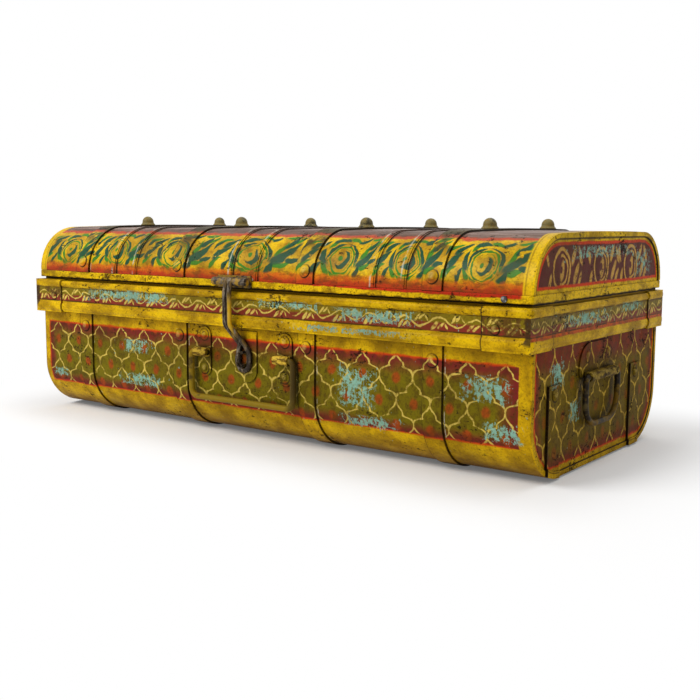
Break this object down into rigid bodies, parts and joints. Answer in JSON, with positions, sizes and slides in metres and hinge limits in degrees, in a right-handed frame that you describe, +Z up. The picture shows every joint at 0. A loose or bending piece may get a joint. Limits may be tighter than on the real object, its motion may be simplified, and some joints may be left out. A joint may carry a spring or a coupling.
{
  "type": "sheet metal travel trunk",
  "caption": "Painted sheet metal travel trunk with a domed hinged lid, rolled rim band, flat straps, wire bail handles and a hasp bent from one bar.",
  "frame": {"origin": "on the ground under the middle of the trunk", "axes": "+X along the length to the right end, +Y to the hinged back, so the hasp faces -Y, +Z up"},
  "size_m": [0.7122, 0.352, 0.2467],
  "materials": {
    "painted_sheet": "worn hand painted enamel, ornament in yellow, olive and maroon",
    "band_paint": "worn mustard enamel with a painted vine",
    "painted_strap": "strap iron, painted over and rubbed at the edges",
    "rivet_iron": "painted over and worn to dark iron",
    "dark_iron": "dark forged iron with traces of paint",
    "bare_sheet": "dull, oxidised sheet"
  },
  "bodies": {
    "trunk_body": {"body_strap_1": "painted_strap", "body_strap_2": "painted_strap", "body_strap_3": "painted_strap", "body_strap_4": "painted_strap", "body_strap_rivets": "rivet_iron", "body_wrap": "painted_sheet", "corner_cap_back_left": "painted_strap", "corner_cap_back_right": "painted_strap", "corner_cap_front_left": "painted_strap", "corner_cap_front_right": "painted_strap", "corner_rivets": "rivet_iron", "end_handle_plate_left": "painted_strap", "end_handle_plate_right": "painted_strap", "end_handle_rivets": "rivet_iron", "end_panel_left": "painted_sheet", "end_panel_right": "painted_sheet", "end_strap_back_left": "painted_strap", "end_strap_back_right": "painted_strap", "end_strap_front_left": "painted_strap", "end_strap_front_right": "painted_strap", "end_strap_rivets": "rivet_iron", "front_handle_plate_left": "painted_strap", "front_handle_plate_right": "painted_strap", "front_handle_rivets": "rivet_iron", "hinge_body_leaf_left": "painted_strap", "hinge_body_leaf_right": "painted_strap", "hinge_body_rivets": "rivet_iron", "hinge_pin_left": "dark_iron", "hinge_pin_right": "dark_iron", "inner_neck": "bare_sheet", "rim_band": "band_paint", "staple": "dark_iron", "staple_plate": "painted_strap"},
    "lid": {"hasp_hinge": "painted_strap", "hasp_pin": "dark_iron", "hinge_lid_leaf_left": "painted_strap", "hinge_lid_leaf_right": "painted_strap", "hinge_lid_rivets": "rivet_iron", "lid_end_left": "painted_sheet", "lid_end_right": "painted_sheet", "lid_flange": "band_paint", "lid_nail": "rivet_iron", "lid_strap_1": "painted_strap", "lid_strap_2": "painted_strap", "lid_strap_3": "painted_strap", "lid_strap_4": "painted_strap", "lid_strap_rivets": "rivet_iron", "lid_studs": "painted_strap", "lid_wrap": "painted_sheet"},
    "hasp": {"hasp": "dark_iron"},
    "front_handle": {"front_handle": "dark_iron"},
    "end_handle_left": {"end_handle_left": "dark_iron"},
    "end_handle_right": {"end_handle_right": "dark_iron"}
  },
  "joints": [
    {"name": "lid_hinge", "type": "hinge", "parent": "trunk_body", "child": "lid", "pos_m": [0, 0.171, 0.168], "axis": [-1, 0, 0], "range_deg": [0, 100]},
    {"name": "hasp_swing", "type": "hinge", "parent": "lid", "child": "hasp", "pos_m": [-0.008, -0.168, 0.177], "axis": [-1, 0, 0], "range_deg": [0, 120]},
    {"name": "front_bail", "type": "hinge", "parent": "trunk_body", "child": "front_handle", "pos_m": [0, -0.1615, 0.096], "axis": [-1, 0, 0], "range_deg": [0, 150]},
    {"name": "end_bail_right", "type": "hinge", "parent": "trunk_body", "child": "end_handle_right", "pos_m": [0.3513, -0.008, 0.092], "axis": [0, -1, 0], "range_deg": [0, 120]},
    {"name": "end_bail_left", "type": "hinge", "parent": "trunk_body", "child": "end_handle_left", "pos_m": [-0.3513, -0.008, 0.092], "axis": [0, 1, 0], "range_deg": [0, 120]}
  ]
}
